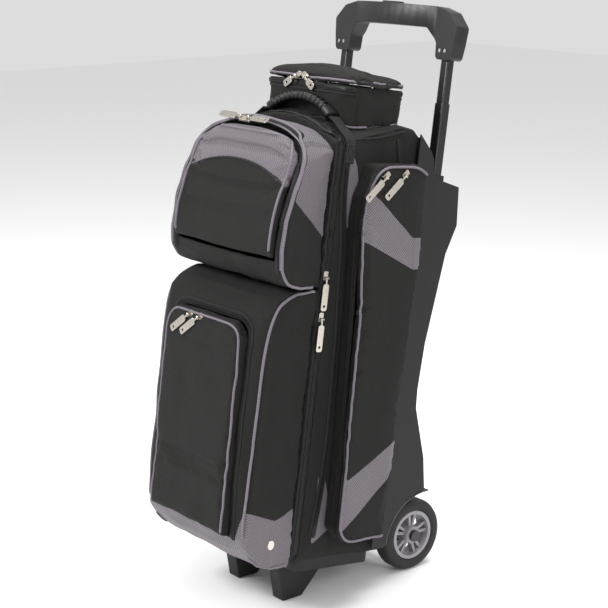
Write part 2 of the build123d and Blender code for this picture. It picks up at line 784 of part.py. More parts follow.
# Each zip has two sliders: place, direction in which the pull lies, direction away from the bag.
FRONT_OUT = (0, -1, 0)
DOME_OUT = (0, -0.7071, 0.7071)
ZIPS = {
    "main": [
        ((TRUNK_HALF, -284, 524), (0, 0, -1), (1, 0, 0)),
        ((TRUNK_HALF, -284, 458), (0, 0, -1), (1, 0, 0)),
    ],
    "dome": [
        ((-22, -359.7, 750.2), (-1, 0, 0), DOME_OUT),
        ((-8, -359.7, 750.2), (1, 0, 0), DOME_OUT),
    ],
    "lower": [
        ((-34, -412.4, 434), (-0.8, 0, -0.6), FRONT_OUT),
        ((-8, -412.4, 434), (-0.8, 0, -0.6), FRONT_OUT),
    ],
    "side_right": [
        ((POCKET_FACE_X, -178, 694), (0, -0.7, -0.714), (1, 0, 0)),
        ((POCKET_FACE_X, -218, 690), (0, -0.7, -0.714), (1, 0, 0)),
    ],
    "side_left": [
        ((-POCKET_FACE_X, -178, 694), (0, -0.7, -0.714), (-1, 0, 0)),
        ((-POCKET_FACE_X, -218, 690), (0, -0.7, -0.714), (-1, 0, 0)),
    ],
    "case": [
        ((-28, CASE_FRONT_Y, 828.4), (-0.85, 0, -0.527), FRONT_OUT),
        ((-10, CASE_FRONT_Y, 828.4), (0.85, 0, -0.527), FRONT_OUT),
    ],
}
for zip_name, sliders in ZIPS.items():
    with BuildPart() as zip_sliders:
        for place in sliders:
            add(slider_solid(on_zip(*place)))
    save(zip_sliders, f"zip_sliders_{zip_name}")
    for number, place in enumerate(sliders, start=1):
        with BuildPart() as zip_pull:
            add(pull_solid(on_zip(*place), SHORT_PULL_L if zip_name == "case" else PULL_L))
        save(zip_pull, f"zip_pull_{zip_name}_{number}")
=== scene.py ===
import json
import math

import bmesh
import bpy
import numpy as np
from mathutils import Matrix, Vector, noise
from mathutils.bvhtree import BVHTree


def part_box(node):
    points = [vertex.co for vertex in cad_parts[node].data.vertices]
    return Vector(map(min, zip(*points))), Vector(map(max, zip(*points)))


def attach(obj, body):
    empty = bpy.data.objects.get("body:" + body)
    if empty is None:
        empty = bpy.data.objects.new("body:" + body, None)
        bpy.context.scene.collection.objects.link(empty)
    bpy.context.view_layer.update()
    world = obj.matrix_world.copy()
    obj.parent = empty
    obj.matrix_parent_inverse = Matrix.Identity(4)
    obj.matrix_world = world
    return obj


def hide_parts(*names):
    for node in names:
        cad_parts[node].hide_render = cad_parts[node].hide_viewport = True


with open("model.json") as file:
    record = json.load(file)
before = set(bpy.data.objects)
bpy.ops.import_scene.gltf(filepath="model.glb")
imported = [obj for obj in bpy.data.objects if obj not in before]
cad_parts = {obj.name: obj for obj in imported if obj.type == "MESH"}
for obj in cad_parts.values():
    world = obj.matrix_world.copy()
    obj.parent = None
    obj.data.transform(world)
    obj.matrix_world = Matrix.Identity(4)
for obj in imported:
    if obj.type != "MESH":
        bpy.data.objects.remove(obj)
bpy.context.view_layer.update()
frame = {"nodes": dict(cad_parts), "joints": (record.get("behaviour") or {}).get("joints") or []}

nodes = frame["nodes"]
joints = {joint["name"]: joint for joint in frame["joints"]}

# ------------------------------------------------------------------ the bag's own axes
# Lengths are in millimetres along the bag: x to the right, y to the back from the axle, z up its leaning back.
MM = 0.001
WHEEL_R = 63.5
AXLE = Vector((0, *joints["wheel_spin_right"]["pos_m"][1:]))
UP = Vector(joints["handle_lower_stage"]["axis"]).normalized()
BACK = Vector((0, UP.z, -UP.y))
LEAN = math.atan2(UP.y, UP.z)
BAG = Matrix.Translation(AXLE - UP * WHEEL_R * MM) @ Matrix(
    ((MM, 0, 0, 0), (0, BACK.y * MM, UP.y * MM, 0), (0, BACK.z * MM, UP.z * MM, 0), (0, 0, 0, 1))
)
TO_BAG = BAG.inverted()

TRUNK_HALF = 128.0
SHOULDER_Z = 735.0
CROWN_Z = 768.0
DOOR_Y = -275.0


# ------------------------------------------------------------------ shader helpers
def node(tree, kind, settings=None, **inputs):
    """Adds a shader node. An input given as a socket is linked, any other is set on the node's own socket."""
    made = tree.nodes.new("ShaderNode" + kind)
    for key, value in (settings or {}).items():
        setattr(made, key, value)
    for key, value in inputs.items():
        socket = made.inputs[key.replace("_", " ")]
        if isinstance(value, bpy.types.NodeSocket):
            tree.links.new(value, socket)
        else:
            socket.default_value = value
    return made


def calc(tree, operation, *values):
    """Math node on numbers or sockets; gives its result."""
    made = tree.nodes.new("ShaderNodeMath")
    made.operation = operation
    for socket, value in zip(made.inputs, values):
        if isinstance(value, bpy.types.NodeSocket):
            tree.links.new(value, socket)
        else:
            socket.default_value = value
    return made.outputs[0]


def blend_colours(tree, share, first, second):
    """Colour that goes from first to second as share goes from 0 to 1."""
    made = tree.nodes.new("ShaderNodeMix")
    made.data_type = "RGBA"
    sockets = [made.inputs[0], made.inputs[6], made.inputs[7]]
    for socket, value in zip(sockets, (share, first, second)):
        if isinstance(value, bpy.types.NodeSocket):
            tree.links.new(value, socket)
        else:
            socket.default_value = value
    return made.outputs[2]


def shade(colour, factor):
    """Colour with alpha, lighter or darker by a factor."""
    return (*[min(1.0, channel * factor) for channel in colour], 1.0)


def bag_coordinates(tree):
    """Point on the piece in the bag's axes in millimetres, and flat coordinates u and v along its surface."""
    source = node(tree, "TexCoord")
    place = node(
        tree,
        "Mapping",
        Vector=source.outputs["Object"],
        Rotation=(LEAN, 0, 0),
        Scale=(1 / MM, 1 / MM, 1 / MM),
    ).outputs[0]
    facing = node(tree, "Mapping", Vector=source.outputs["Normal"], Rotation=(LEAN, 0, 0)).outputs[0]
    x, y, z = node(tree, "SeparateXYZ", Vector=place).outputs
    normal = [calc(tree, "ABSOLUTE", part) for part in node(tree, "SeparateXYZ", Vector=facing).outputs]
    faces_side = calc(tree, "GREATER_THAN", normal[0], 0.62)
    faces_up = calc(tree, "GREATER_THAN", normal[2], 0.72)
    u = calc(tree, "ADD", x, calc(tree, "MULTIPLY", faces_side, calc(tree, "SUBTRACT", y, x)))
    v = calc(tree, "ADD", z, calc(tree, "MULTIPLY", faces_up, calc(tree, "SUBTRACT", y, z)))
    return place, u, v


def noise_of(tree, place, size, detail=2.0):
    """Soft random pattern from 0 to 1 with features of a size in millimetres."""
    return node(tree, "TexNoise", Vector=place, Scale=1 / size, Detail=detail).outputs[0]


def wave(tree, along, pitch):
    """Sine from -1 to 1 that repeats every pitch."""
    return calc(tree, "SINE", calc(tree, "MULTIPLY", along, 2 * math.pi / pitch))


def threads(tree, along, pitch, sharpness):
    """Narrow raised lines, one every pitch."""
    line = calc(tree, "ABSOLUTE", calc(tree, "COSINE", calc(tree, "MULTIPLY", along, math.pi / pitch)))
    return calc(tree, "POWER", line, sharpness)


def surface(name, colour, rough, variation=0.12, metallic=0.0, sheen=0.0, coat=0.0, specular=0.5):
    """Material with broad colour variation and worn edges, ready for a height."""
    material = bpy.data.materials.new(name)
    material.use_nodes = True
    tree = material.node_tree
    place, u, v = bag_coordinates(tree)
    shader = tree.nodes["Principled BSDF"]
    shader.inputs["Metallic"].default_value = metallic
    shader.inputs["Specular IOR Level"].default_value = specular
    shader.inputs["Sheen Weight"].default_value = sheen
    shader.inputs["Sheen Roughness"].default_value = 0.45
    shader.inputs["Coat Weight"].default_value = coat
    shader.inputs["Coat Roughness"].default_value = 0.12
    broad = noise_of(tree, place, 55.0, 3.0)
    base = blend_colours(tree, broad, shade(colour, 1 - variation), shade(colour, 1 + variation))
    edge = node(tree, "NewGeometry").outputs["Pointiness"]
    wear = calc(tree, "MULTIPLY", calc(tree, "SUBTRACT", edge, 0.53), 6.0)
    wear = node(tree, "Clamp", Value=wear, Max=0.5).outputs[0]
    base = blend_colours(tree, wear, base, shade([channel + 0.008 for channel in colour], 1.4))
    spots = noise_of(tree, place, 3.0, 4.0)
    spread = calc(tree, "MULTIPLY", calc(tree, "SUBTRACT", spots, 0.5), 0.22)
    tree.links.new(calc(tree, "ADD", spread, rough), shader.inputs["Roughness"])
    return material, tree, shader, base, place, u, v


def finish_surface(tree, shader, base, height, depth):
    """Links the colour, and the height as bump with a depth in millimetres."""
    bump = node(tree, "Bump", Height=height, Distance=depth * MM, Strength=1.0)
    tree.links.new(base, shader.inputs["Base Color"])
    tree.links.new(bump.outputs[0], shader.inputs["Normal"])


def woven(name, colour, pitch=1.1, depth=0.35, rough=0.8, sheen=0.02, ripstop=0.0, specular=0.16, variation=0.18):
    """Woven cloth, with a diamond net of thicker threads if ripstop gives its spacing."""
    material, tree, shader, base, place, u, v = surface(name, colour, rough, variation, sheen=sheen, specular=specular)
    weave = calc(tree, "MULTIPLY", wave(tree, u, pitch), wave(tree, v, pitch))
    fibres = noise_of(tree, place, 0.9, 3.0)
    slubs = noise_of(tree, place, 9.0, 3.0)
    height = calc(tree, "ADD", calc(tree, "MULTIPLY", weave, 0.35), calc(tree, "MULTIPLY", fibres, 0.7))
    height = calc(tree, "ADD", height, calc(tree, "MULTIPLY", slubs, 1.2))
    # Painted highlight: the raised weave threads are painted lighter, broken up by fibre noise.
    raised_thread_highlight = calc(tree, "MULTIPLY", calc(tree, "ADD", weave, 1.0), calc(tree, "MULTIPLY", fibres, 0.5))
    base = blend_colours(tree, raised_thread_highlight, base, shade(colour, 1.7))
    coarse = calc(tree, "MULTIPLY", wave(tree, u, pitch * 3.3), wave(tree, v, pitch * 2.9))
    grain = calc(tree, "MULTIPLY", noise_of(tree, place, 2.6, 3.0), calc(tree, "ADD", coarse, 1.0))
    base = blend_colours(tree, calc(tree, "MULTIPLY", grain, 0.75), base, shade(colour, 2.3))
    height = calc(tree, "ADD", height, calc(tree, "MULTIPLY", coarse, 0.5))
    if ripstop:
        right = threads(tree, calc(tree, "ADD", u, v), ripstop, 4.0)
        left = threads(tree, calc(tree, "SUBTRACT", u, v), ripstop, 4.0)
        net = calc(tree, "MULTIPLY", calc(tree, "ADD", right, left), 0.7)
        height = calc(tree, "ADD", height, calc(tree, "MULTIPLY", net, 0.9))
        base = blend_colours(tree, calc(tree, "MULTIPLY", net, 0.85), base, shade(colour, 0.12))
    finish_surface(tree, shader, base, height, depth)
    return material


def ribbed(name, colour, pitch=1.6, depth=0.5, rough=0.75):
    """Webbing or tape with ribs along u and a finer weave across them."""
    material, tree, shader, base, place, u, v = surface(name, colour, rough, sheen=0.02, specular=0.25)
    ribs = threads(tree, u, pitch, 1.5)
    picks = wave(tree, v, pitch * 0.6)
    fibres = noise_of(tree, place, 0.8, 2.0)
    height = calc(tree, "ADD", ribs, calc(tree, "MULTIPLY", calc(tree, "ADD", picks, fibres), 0.3))
    base = blend_colours(tree, calc(tree, "MULTIPLY", ribs, 0.4), base, shade(colour, 1.9))
    finish_surface(tree, shader, base, height, depth)
    return material


def moulded(name, colour, rough, grain=0.8, depth=0.12, coat=0.0, sheen=0.0, specular=0.5, variation=0.08):
    """Moulded plastic or rubber with a fine grain and a few scuffs."""
    material, tree, shader, base, place, _, _ = surface(
        name, colour, rough, variation, coat=coat, sheen=sheen, specular=specular
    )
    cells = node(tree, "TexVoronoi", Vector=place, Scale=1 / grain).outputs["Distance"]
    ripple = noise_of(tree, place, 18.0, 2.0)
    scuffs = node(tree, "Mapping", Vector=place, Scale=(0.3, 0.3, 2.2)).outputs[0]
    scuff = calc(tree, "POWER", noise_of(tree, scuffs, 6.0, 5.0), 6.0)
    base = blend_colours(tree, scuff, base, shade(colour, 3.0))
    height = calc(tree, "ADD", cells, calc(tree, "MULTIPLY", ripple, 1.5))
    finish_surface(tree, shader, base, height, depth)
    return material


def metal(name, colour, rough, grain=0.4, depth=0.05, coat=0.0, metallic=1.0):
    """Plated or anodised metal with fine brushing and duller patches."""
    material, tree, shader, base, place, _, _ = surface(
        name, colour, rough, 0.1, metallic=metallic, coat=coat
    )
    brushed = node(tree, "Mapping", Vector=place, Scale=(1.0, 1.0, 0.08)).outputs[0]
    height = noise_of(tree, brushed, grain, 2.0)
    patches = noise_of(tree, place, 4.0, 3.0)
    base = blend_colours(tree, calc(tree, "MULTIPLY", patches, 0.35), base, shade(colour, 0.55))
    finish_surface(tree, shader, base, height, depth)
    return material


def twisted(name, colour):
    """Corded piping: soft twisted yarn."""
    material, tree, shader, base, place, u, v = surface(name, colour, 0.7, sheen=0.08, specular=0.3)
    strands = wave(tree, calc(tree, "ADD", u, v), 1.7)
    fibres = noise_of(tree, place, 0.7, 3.0)
    height = calc(tree, "ADD", strands, fibres)
    base = blend_colours(tree, calc(tree, "MULTIPLY", fibres, 0.8), base, shade(colour, 1.35))
    finish_surface(tree, shader, base, height, 0.3)
    return material


BLACK = woven("black polyester weave", (0.0085, 0.0082, 0.0079), pitch=1.3)
BLACK_SMOOTH = woven("black zip tape", (0.009, 0.0088, 0.0086), pitch=0.9, depth=0.2, rough=0.6)
LINING = woven("black lining", (0.03, 0.03, 0.031), pitch=0.8, depth=0.2, rough=0.6)
GREY = woven("mauve grey ripstop", (0.115, 0.096, 0.115), pitch=1.0, ripstop=4.6, rough=0.46, sheen=0.05, specular=0.7)
PIPING = twisted("mauve piping cord", (0.17, 0.148, 0.175))
THREAD = twisted("black sewing thread", (0.02, 0.019, 0.019))
GREY_THREAD = twisted("grey sewing thread", (0.10, 0.09, 0.10))
WEBBING = ribbed("ribbed black webbing", (0.011, 0.0106, 0.0102))
COIL = moulded("black nylon coil", (0.009, 0.0088, 0.0086), 0.38, grain=0.5, depth=0.05)
FOAM = moulded("closed cell foam", (0.045, 0.045, 0.046), 0.85, grain=2.2, depth=0.5)
BOARD = woven("cloth covered board", (0.03, 0.03, 0.031), pitch=1.2, depth=0.25)
SHELL = moulded("moulded black shell", (0.0085, 0.0083, 0.0082), 0.5, grain=0.9, depth=0.12, specular=0.3)
HOUSING = moulded("glossy black housing", (0.007, 0.0068, 0.0067), 0.24, grain=2.0, depth=0.02, coat=0.35)
RUBBER = moulded("soft black rubber", (0.0075, 0.0073, 0.0072), 0.42, grain=0.7, depth=0.05, specular=0.4)
TUBE = metal("dark anodised tube", (0.022, 0.0215, 0.022), 0.3, metallic=0.5, coat=0.1)
TYRE = moulded("matte tyre", (0.017, 0.0165, 0.0165), 0.62, grain=1.3, depth=0.15, specular=0.3)
RIM = moulded("silver grey rim", (0.23, 0.22, 0.24), 0.38, grain=1.5, depth=0.03, coat=0.1)
STEEL = metal("plain steel", (0.5, 0.49, 0.48), 0.35)
NICKEL = metal("worn nickel", (0.62, 0.57, 0.51), 0.25)


# ------------------------------------------------------------------ mesh helpers
def piece(name, vertices, faces, material, body, smooth=True):
    """Object from points of the bag, riding on a body."""
    mesh = bpy.data.meshes.new(name)
    mesh.from_pydata([BAG @ Vector(point) for point in vertices], [], faces)
    mesh.polygons.foreach_set("use_smooth", [smooth] * len(mesh.polygons))
    mesh.materials.append(material)
    made = bpy.data.objects.new(name, mesh)
    bpy.context.scene.collection.objects.link(made)
    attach(made, body)
    return made


def bag_points(obj):
    """Vertices of an object in the bag's axes, as an array."""
    rows = np.empty(len(obj.data.vertices) * 3)
    obj.data.vertices.foreach_get("co", rows)
    change = np.array(TO_BAG)
    return rows.reshape(-1, 3) @ change[:3, :3].T + change[:3, 3]


def set_bag_points(obj, points):
    change = np.array(BAG)
    rows = points @ change[:3, :3].T + change[:3, 3]
    obj.data.vertices.foreach_set("co", rows.ravel())
    obj.data.update()


def bake(obj):
    """Applies every modifier of an object to its own mesh."""
    view = bpy.context.evaluated_depsgraph_get()
    mesh = bpy.data.meshes.new_from_object(obj.evaluated_get(view))
    obj.modifiers.clear()
    obj.data = mesh


def tree_of(*objects):
    """Search tree over the faces of some objects, in the bag's axes."""
    vertices = []
    faces = []
    for obj in objects:
        first = len(vertices)
        vertices.extend(Vector(point) for point in bag_points(obj))
        faces.extend([first + index for index in face.vertices] for face in obj.data.polygons)
    return BVHTree.FromPolygons(vertices, faces)


def remeshed(source, voxel, material, body):
    """Copy of a soft CAD solid as an even mesh, ready to be inflated."""
    made = bpy.data.objects.new(f"soft_{source}", nodes[source].data.copy())
    bpy.context.scene.collection.objects.link(made)
    made.data.materials.clear()
    remesh = made.modifiers.new("Remesh", "REMESH")
    remesh.mode = "VOXEL"
    remesh.voxel_size = voxel * MM
    remesh.use_smooth_shade = True
    even = made.modifiers.new("Even", "SMOOTH")
    even.factor = 0.5
    even.iterations = 3
    bake(made)
    made.data.materials.clear()
    made.data.materials.append(material)
    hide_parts(source)
    made["rides"] = body
    return made


def inflate(pieces):
    """Swells soft pieces with Blender's cloth, all at once, and limits how far any point moves."""
    scene = bpy.context.scene
    starts = {}
    for made, pressure, _ in pieces:
        starts[made] = bag_points(made)
        cloth = made.modifiers.new("Cloth", "CLOTH")
        settings = cloth.settings
        settings.quality = 2
        settings.tension_stiffness = 12
        settings.compression_stiffness = 12
        settings.shear_stiffness = 5
        settings.bending_stiffness = 0.6
        settings.use_pressure = True
        settings.uniform_pressure_force = pressure
        settings.shrink_min = -0.03
        settings.effector_weights.gravity = 0
        cloth.point_cache.frame_start = 1
        cloth.point_cache.frame_end = 20
    for number in range(1, 21):
        scene.frame_set(number)
    for made, _, limit in pieces:
        bake(made)
        start = starts[made]
        moved = bag_points(made) - start
        length = np.linalg.norm(moved, axis=1, keepdims=True)
        share = np.minimum(1.0, limit / np.maximum(length, 1e-6))
        set_bag_points(made, start + moved * share)
    scene.frame_set(1)


def push(obj, amount):
    """Moves every point along its normal by amount(x, y, z, normal), in millimetres."""
    points = bag_points(obj)
    normals = np.empty(len(obj.data.vertices) * 3)
    obj.data.vertices.foreach_get("normal", normals)
    turn = np.array(TO_BAG)[:3, :3] * MM
    normals = normals.reshape(-1, 3) @ turn.T
    shift = np.array([amount(Vector(point), Vector(normal)) for point, normal in zip(points, normals)])
    set_bag_points(obj, points + normals * shift[:, None])


def move(obj, change):
    """Moves every point of a soft piece to change(point)."""
    set_bag_points(obj, np.array([change(Vector(point)) for point in bag_points(obj)]))


def smoothed(obj, rounds=1):
    """Adds one subdivision to a soft piece."""
    fine = obj.modifiers.new("Fine", "SUBSURF")
    fine.levels = rounds
    fine.render_levels = rounds


def patch(obj, inside, material):
    """Cuts the mesh where inside(point) changes sign, and gives the positive part its own material."""
    mesh = bmesh.new()
    mesh.from_mesh(obj.data)
    value = {vertex: inside(TO_BAG @ vertex.co) for vertex in mesh.verts}
    on_line = set()
    for edge in list(mesh.edges):
        first, second = edge.verts
        if (value[first] > 0) == (value[second] > 0):
            continue
        share = value[first] / (value[first] - value[second])
        if share < 0.08:
            on_line.add(first)
        elif share > 0.92:
            on_line.add(second)
        else:
            _, cut = bmesh.utils.edge_split(edge, first, share)
            value[cut] = 0.0
            on_line.add(cut)
    for vertex in on_line:
        value[vertex] = 0.0
    bmesh.ops.connect_verts(mesh, verts=list(on_line))
    obj.data.materials.append(material)
    slot_number = len(obj.data.materials) - 1
    for face in mesh.faces:
        if sum(value[vertex] if vertex in value else 0.0 for vertex in face.verts) > 0:
            face.material_index = slot_number
    mesh.to_mesh(obj.data)
    mesh.free()


# ------------------------------------------------------------------ paths
def rounded(corners, radius, closed=False, steps=7):
    """Line through the corners, each inner corner turned into a curve that starts a radius before it."""
    points = []
    count = len(corners)
    for number, corner in enumerate(corners):
        corner = Vector(corner)
        if not closed and number in (0, count - 1):
            points.append(corner)
            continue
        before = Vector(corners[number - 1])
        after = Vector(corners[(number + 1) % count])
        reach = min(radius, (before - corner).length / 2, (after - corner).length / 2)
        start = corner + (before - corner).normalized() * reach
        end = corner + (after - corner).normalized() * reach
        for step in range(steps + 1):
            share = step / steps
            points.append(start.lerp(corner, share).lerp(corner.lerp(end, share), share))
    return points


def spaced(points, spacing, closed=False):
    """The same line with points at even spacing."""
    points = [Vector(point) for point in points]
    if closed:
        points.append(points[0])
    lengths = [0.0]
    for before, after in zip(points, points[1:]):
        lengths.append(lengths[-1] + (after - before).length)
    count = max(2, round(lengths[-1] / spacing))
    wanted = np.linspace(0, lengths[-1], count + 1)
    axes = [np.interp(wanted, lengths, [point[axis] for point in points]) for axis in range(3)]
    even = [Vector(point) for point in zip(*axes)]
    return even[:-1] if closed else even


def arch(half, low, high, radius, close=False):
    """Front outline of a panel, from its lower left corner over the top to its lower right corner."""
    corners = [(-half, 0, low), (-half, 0, high), (half, 0, high), (half, 0, low)]
    return rounded(corners, radius, closed=close)


CAST_FROM = 600.0  # how far outside the bag a line is dropped onto it from


def run(points, tree=None, toward=None, closed=False, spacing=2.0, lift=0.0, out=None, soften=3):
    """Line laid on a surface: for each point its place, direction, outward normal and side."""
    even = spaced(points, spacing, closed)
    places = []
    normals = []
    for point in even:
        place = None
        if tree is not None and toward is not None:
            place, normal, _, _ = tree.ray_cast(point - Vector(toward) * CAST_FROM, Vector(toward))
        if tree is not None and place is None:
            place, normal, _, _ = tree.find_nearest(point)
        if tree is None:
            place = point
            normal = Vector(out)
        places.append(place)
        normals.append(normal)
    count = len(places)
    for _ in range(soften if tree is not None else 0):
        mean_places = []
        mean_normals = []
        for i in range(count):
            near = (i - 1) % count if closed else max(i - 1, 0)
            far = (i + 1) % count if closed else min(i + 1, count - 1)
            if near == i or far == i:
                mean_places.append(places[i])
            else:
                mean_places.append(places[i] * 0.5 + (places[near] + places[far]) * 0.25)
            mean_normals.append((normals[near] + normals[i] * 2 + normals[far]).normalized())
        places = mean_places
        normals = mean_normals
    laid = []
    for i in range(count):
        near = (i - 1) % count if closed else max(i - 1, 0)
        far = (i + 1) % count if closed else min(i + 1, count - 1)
        along = (places[far] - places[near]).normalized()
        side_way = normals[i].cross(along).normalized()
        normal = along.cross(side_way).normalized()
        laid.append((places[i] + normal * lift, along, normal, side_way))
    return laid


def beside(laid, across, lift=0.0):
    """The same run moved sideways and outwards."""
    return [(p + s * across + n * lift, t, n, s) for p, t, n, s in laid]


def sweep(name, laid, profile, material, body, closed=False, shape=None, ends=True):
    """Strip or tube: a closed profile of (across, out) points carried along a run. shape may change it on the way."""
    vertices = []
    faces = []
    around = len(profile)
    length = 0.0
    for number, (place, along, normal, side_way) in enumerate(laid):
        if number:
            length += (place - laid[number - 1][0]).length
        drawn = shape(length, number / max(1, len(laid) - 1), profile) if shape else profile
        for across, outwards in drawn:
            vertices.append(place + side_way * across + normal * outwards)
    rings = len(laid)
    for ring in range(rings if closed else rings - 1):
        for corner in range(around):
            a = ring * around + corner
            b = ring * around + (corner + 1) % around
            c = ((ring + 1) % rings) * around + (corner + 1) % around
            d = ((ring + 1) % rings) * around + corner
            faces.append((a, b, c, d))
    if ends and not closed:
        faces.append(tuple(reversed(range(around))))
        faces.append(tuple(range((rings - 1) * around, rings * around)))
    return piece(name, vertices, faces, material, body)


def circle_profile(radius, count=10, squash=1.0):
    angles = [2 * math.pi * step / count for step in range(count)]
    return [(radius * math.cos(angle), radius * squash * math.sin(angle)) for angle in angles]


def rope(length, _, profile):
    """Two strands twisted round each other."""
    turned = []
    for across, outwards in profile:
        angle = math.atan2(outwards, across)
        swell = 1 + 0.13 * math.cos(2 * (angle - length * 2 * math.pi / 9.0))
        turned.append((across * swell, outwards * swell))
    return turned


def piping(name, laid, body, radius=1.9, closed=False):
    """Corded piping: a twisted round cord laid along the run."""
    return sweep(name, laid, circle_profile(radius), PIPING, body, closed, shape=rope)


def flat_profile(half, thick, round_off=0.35):
    """Flat strip with softened edges, lying on the run."""
    return [
        (half, 0),
        (half, thick * 0.55),
        (half - round_off, thick),
        (0, thick),
        (-half + round_off, thick),
        (-half, thick * 0.55),
        (-half, 0),
    ]


def scattered(name, laid, every, shape, material, body, skip=0):
    """One small solid every so many millimetres along a run. shape gives its (along, across, out) points and faces."""
    corners, sides = shape
    vertices = []
    faces = []
    length = 0.0
    following = every / 2
    for number in range(1, len(laid)):
        place, along, normal, side_way = laid[number]
        step = (place - laid[number - 1][0]).length
        while following < length + step:
            share = (following - length) / step
            centre = laid[number - 1][0].lerp(place, share)
            first = len(vertices)
            for forward, across, outwards in corners:
                vertices.append(centre + along * forward + side_way * across + normal * outwards)
            faces.extend([tuple(first + index for index in side) for side in sides])
            following += every
        length += step
    return piece(name, vertices, faces, material, body, smooth=False)


def brick(half_along, half_across, low, high, taper=0.7):
    """Small block whose top is narrower than its foot."""
    corners = []
    for height, size in ((low, 1.0), (high, taper)):
        for forward, across in ((-1, -1), (1, -1), (1, 1), (-1, 1)):
            corners.append((forward * half_along * size, across * half_across * size, height))
    sides = [(3, 2, 1, 0), (4, 5, 6, 7)]
    sides += [(i, (i + 1) % 4, 4 + (i + 1) % 4, 4 + i) for i in range(4)]
    return corners, sides


def stitch_shape(length=2.4, radius=0.35):
    """One stitch: a short thread that is thick in the middle."""
    corners = [(-length / 2, 0, 0), (length / 2, 0, 0)]
    ring = [(0, radius, 0), (0, 0, radius), (0, -radius, 0), (0, 0, -radius)]
    sides = []
    for i in range(4):
        sides.append((0, 2 + i, 2 + (i + 1) % 4))
        sides.append((1, 2 + (i + 1) % 4, 2 + i))
    return corners + ring, sides


def stitches(name, laid, body, material=THREAD, every=3.4):
    return scattered(name, beside(laid, 0, 0.25), every, stitch_shape(), material, body)


def zip_coil(name, laid, body, half=2.6, tape=8.5, both=True):
    """Zip: a woven tape, the coil's teeth in two rows, and a stitched line along each edge of the tape."""
    sweep(f"{name}_tape", beside(laid, 0, 0.2), flat_profile(tape, 0.7), BLACK_SMOOTH, body)
    left = brick(0.42, half * 0.62, 0.7, 2.3)
    scattered(f"{name}_teeth_a", beside(laid, half * 0.4), 1.7, left, COIL, body)
    scattered(f"{name}_teeth_b", beside(laid[1:], -half * 0.4), 1.7, left, COIL, body)
    if both:
        stitches(f"{name}_stitch_a", beside(laid, tape - 1.8, 0.8), body)
        stitches(f"{name}_stitch_b", beside(laid, 1.8 - tape, 0.8), body)


# ------------------------------------------------------------------ padded fabric
SOFT = [
    # node, body, voxel, pressure, limit, material
    ("body_shell", "trunk", 4.0, 4.0, 2.2, BLACK),
    ("door_panel", "front_door", 4.0, 4.0, 1.5, BLACK),
    ("dome_pocket_tub", "front_door", 3.2, 4.0, 2.5, BLACK),
    ("lower_pocket_tub", "front_door", 3.2, 4.0, 3.0, BLACK),
    ("dome_pocket_cover", "dome_cover", 3.2, 4.0, 4.5, BLACK),
    ("lower_pocket_cover", "lower_cover", 3.4, 4.0, 5.0, BLACK),
    ("side_pocket_tub_right", "trunk", 3.2, 4.0, 2.0, BLACK),
    ("side_pocket_tub_left", "trunk", 3.2, 4.0, 2.0, BLACK),
    ("side_pocket_cover_right", "side_cover_right", 3.2, 4.0, 4.0, BLACK),
    ("side_pocket_cover_left", "side_cover_left", 3.2, 4.0, 4.0, BLACK),
    ("top_case_tub", "top_case", 2.8, 4.0, 3.0, BLACK),
    ("top_case_lid", "case_lid", 2.8, 4.0, 6.0, BLACK),
]
soft = {}
inflated = []
for source, body, voxel, pressure, limit, material in SOFT:
    made = remeshed(source, voxel, material, body)
    soft[source] = made
    inflated.append((made, pressure, limit))
inflate(inflated)


def wrinkle(size, depth, stretch=(1, 1, 1), seed=0.0):
    """Random soft folds: their size in millimetres, depth, and how far they stretch along each axis."""

    def amount(point, _):
        place = Vector([point[axis] / (size * stretch[axis]) + seed for axis in range(3)])
        return depth * noise.noise(place)

    return amount


FOLDS = {
    "body_shell": (38, 3.2, (1, 1, 3.2)),
    "dome_pocket_tub": (30, 1.6, (1, 1, 1)),
    "lower_pocket_tub": (42, 2.0, (1, 1, 1.4)),
    "dome_pocket_cover": (46, 2.2, (1.6, 1, 1)),
    "lower_pocket_cover": (52, 2.6, (1, 1, 1.5)),
    "side_pocket_cover_right": (44, 2.4, (1, 1, 1.8)),
    "side_pocket_cover_left": (44, 2.4, (1, 1, 1.8)),
    "top_case_tub": (26, 1.6, (1.4, 1.4, 0.8)),
    "top_case_lid": (34, 1.8, (1.5, 1, 1)),
}
for source, (size, depth, stretch) in FOLDS.items():
    push(soft[source], wrinkle(size, depth, stretch))


# Outlines that the sewn fabric takes over its frame.
ROUND = 2.5  # power of the rounded corners: 2 would be an ellipse


def rounded_top(half, centre, rise, x):
    """Height at x of a top that is flat in the middle and round at its corners."""
    share = min(1.0, abs(x) / half)
    return centre + rise * (1 - share**ROUND) ** (1 / ROUND)


def plain_top(half, high, radius, x):
    """Height at x of a flat top with quarter circles at its corners."""
    over = min(radius, max(0.0, abs(x) - (half - radius)))
    return high - radius + math.sqrt(radius**2 - over**2)


DOME_HALF = 149.0
DOME_CENTRE = 660.0
DOME_RISE = 97.0


def dome_shape(point):
    """The dome's top corners are rounder than those of its frame."""
    if point.z <= DOME_CENTRE:
        return point
    x = min(146.0, abs(point.x))
    share = (rounded_top(DOME_HALF, DOME_CENTRE, DOME_RISE, x) - DOME_CENTRE) / (
        plain_top(147, 757, 60, x) - DOME_CENTRE
    )
    return Vector((point.x, point.y, DOME_CENTRE + (point.z - DOME_CENTRE) * share))


CROWN_R = (TRUNK_HALF**2 + (CROWN_Z - SHOULDER_Z) ** 2) / (2 * (CROWN_Z - SHOULDER_Z))


def crown(x):
    """Height of the trunk's crowned top."""
    return CROWN_Z - CROWN_R + math.sqrt(CROWN_R**2 - min(abs(x), TRUNK_HALF) ** 2)


def shoulder_rise(x, y):
    """How much higher the trunk's top edges stand towards the back, where they meet the shell."""
    back = float(np.interp(y, [-275, -251, -154, -130, -100], [0, 2, 26, 24, 0]))
    return back * (min(abs(x), TRUNK_HALF) / TRUNK_HALF) ** 2


